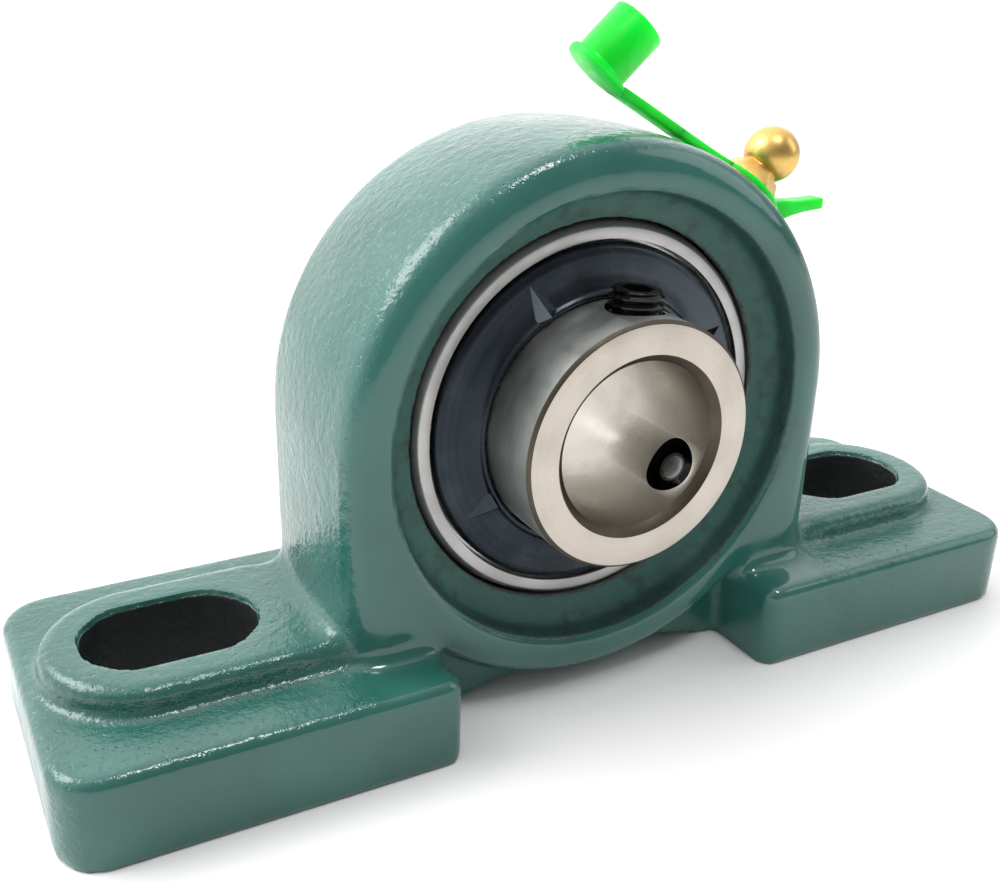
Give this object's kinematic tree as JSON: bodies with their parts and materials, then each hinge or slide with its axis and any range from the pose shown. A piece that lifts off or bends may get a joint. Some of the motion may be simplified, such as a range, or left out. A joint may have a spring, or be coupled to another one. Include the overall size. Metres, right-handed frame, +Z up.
{
  "type": "ball bearing",
  "caption": "Self-aligning ball bearing insert in a cast pillow-block housing with two slotted feet, set screws and a capped grease nipple.",
  "frame": {"origin": "middle of the underside of the feet, at the base of the bounding box", "axes": "+X along the base through both bolt slots, -Y towards the collar side, +Z up; the shaft runs along Y at 33.3 mm above the base"},
  "size_m": [0.127, 0.038, 0.0773],
  "materials": {
    "housing_enamel": "grey iron under glossy teal-green enamel with a cast texture",
    "ground_steel": "bright ground bearing steel",
    "ball_steel": "polished bearing steel",
    "cage_steel": "pressed mild steel",
    "flinger_steel": "blued pressed steel",
    "black_oxide": "black oxide on alloy steel",
    "seal_rubber": "matt nitrile rubber",
    "yellow_zinc": "yellow passivated",
    "cap_plastic": "bright green flexible plastic"
  },
  "bodies": {
    "housing": {"housing": "housing_enamel", "grease_nipple": "yellow_zinc", "nipple_spring": "cage_steel", "dust_cap_ring": "cap_plastic"},
    "outer_ring": {"outer_ring": "ground_steel", "seal_plate_front": "cage_steel", "seal_plate_rear": "cage_steel", "seal_lip_front": "seal_rubber", "seal_lip_rear": "seal_rubber"},
    "inner_ring": {"inner_ring": "ground_steel", "flinger_front": "flinger_steel", "flinger_rear": "flinger_steel"},
    "cage": {"cage_half_front": "cage_steel", "cage_half_rear": "cage_steel", "cage_rivet_1": "cage_steel", "cage_rivet_2": "cage_steel", "cage_rivet_3": "cage_steel", "cage_rivet_4": "cage_steel", "cage_rivet_5": "cage_steel", "cage_rivet_6": "cage_steel", "cage_rivet_7": "cage_steel", "cage_rivet_8": "cage_steel"},
    "set_screw_1": {"set_screw_1": "black_oxide"},
    "set_screw_2": {"set_screw_2": "black_oxide"},
    "nipple_check_ball": {"nipple_check_ball": "ball_steel"},
    "dust_cap_strap": {"dust_cap_strap": "cap_plastic"},
    "dust_cap": {"dust_cap": "cap_plastic"},
    "ball_1": {"ball_1": "ball_steel"},
    "ball_2": {"ball_2": "ball_steel"},
    "ball_3": {"ball_3": "ball_steel"},
    "ball_4": {"ball_4": "ball_steel"},
    "ball_5": {"ball_5": "ball_steel"},
    "ball_6": {"ball_6": "ball_steel"},
    "ball_7": {"ball_7": "ball_steel"},
    "ball_8": {"ball_8": "ball_steel"}
  },
  "joints": [
    {"name": "self_align", "type": "hinge", "parent": "housing", "child": "outer_ring", "pos_m": [0, 0, 0.0333], "axis": [1, 0, 0], "range_deg": [-2, 2]},
    {"name": "inner_ring_spin", "type": "hinge", "parent": "outer_ring", "child": "inner_ring", "pos_m": [0, 0, 0.0333], "axis": [0, 1, 0], "continuous": true},
    {"name": "cage_orbit", "type": "hinge", "parent": "outer_ring", "child": "cage", "pos_m": [0, 0, 0.0333], "axis": [0, 1, 0], "continuous": true},
    {"name": "ball_1_spin", "type": "hinge", "parent": "cage", "child": "ball_1", "pos_m": [0, 0, 0.05005], "axis": [0, 1, 0], "continuous": true},
    {"name": "ball_2_spin", "type": "hinge", "parent": "cage", "child": "ball_2", "pos_m": [-0.01184, 0, 0.04514], "axis": [0, 1, 0], "continuous": true},
    {"name": "ball_3_spin", "type": "hinge", "parent": "cage", "child": "ball_3", "pos_m": [-0.01675, 0, 0.0333], "axis": [0, 1, 0], "continuous": true},
    {"name": "ball_4_spin", "type": "hinge", "parent": "cage", "child": "ball_4", "pos_m": [-0.01184, 0, 0.02146], "axis": [0, 1, 0], "continuous": true},
    {"name": "ball_5_spin", "type": "hinge", "parent": "cage", "child": "ball_5", "pos_m": [0, 0, 0.01655], "axis": [0, 1, 0], "continuous": true},
    {"name": "ball_6_spin", "type": "hinge", "parent": "cage", "child": "ball_6", "pos_m": [0.01184, 0, 0.02146], "axis": [0, 1, 0], "continuous": true},
    {"name": "ball_7_spin", "type": "hinge", "parent": "cage", "child": "ball_7", "pos_m": [0.01675, 0, 0.0333], "axis": [0, 1, 0], "continuous": true},
    {"name": "ball_8_spin", "type": "hinge", "parent": "cage", "child": "ball_8", "pos_m": [0.01184, 0, 0.04514], "axis": [0, 1, 0], "continuous": true},
    {"name": "set_screw_1_travel", "type": "slide", "parent": "inner_ring", "child": "set_screw_1", "axis": [0.0872, 0, 0.9962], "range_m": [-0.0003, 0.003]},
    {"name": "set_screw_2_travel", "type": "slide", "parent": "inner_ring", "child": "set_screw_2", "axis": [0.8192, 0, -0.5736], "range_m": [-0.0003, 0.003]},
    {"name": "check_ball_lift", "type": "slide", "parent": "housing", "child": "nipple_check_ball", "axis": [-0.7071, 0, -0.7071], "range_m": [0, 0.0008], "stiffness_N_per_m": 200, "springref_m": -0.0005, "deforming": ["nipple_spring"]},
    {"name": "dust_cap_strap_bend", "type": "hinge", "parent": "housing", "child": "dust_cap_strap", "pos_m": [0.0189, -0.0027, 0.0601], "axis": [0, 1, 0], "range_deg": [0, 112], "stiffness_Nm_per_rad": 0.002},
    {"name": "dust_cap_bend", "type": "hinge", "parent": "dust_cap_strap", "child": "dust_cap", "pos_m": [0.0046, -0.0027, 0.06785], "axis": [0, 1, 0], "range_deg": [0, 69]}
  ],
  "couplings": [
    {"joint": "cage_orbit", "follows": "inner_ring_spin", "ratio": 0.3815},
    {"joint": "ball_1_spin", "follows": "inner_ring_spin", "ratio": -1.9916},
    {"joint": "ball_2_spin", "follows": "inner_ring_spin", "ratio": -1.9916},
    {"joint": "ball_3_spin", "follows": "inner_ring_spin", "ratio": -1.9916},
    {"joint": "ball_4_spin", "follows": "inner_ring_spin", "ratio": -1.9916},
    {"joint": "ball_5_spin", "follows": "inner_ring_spin", "ratio": -1.9916},
    {"joint": "ball_6_spin", "follows": "inner_ring_spin", "ratio": -1.9916},
    {"joint": "ball_7_spin", "follows": "inner_ring_spin", "ratio": -1.9916},
    {"joint": "ball_8_spin", "follows": "inner_ring_spin", "ratio": -1.9916},
    {"joint": "dust_cap_bend", "follows": "dust_cap_strap_bend", "ratio": 0.608}
  ]
}
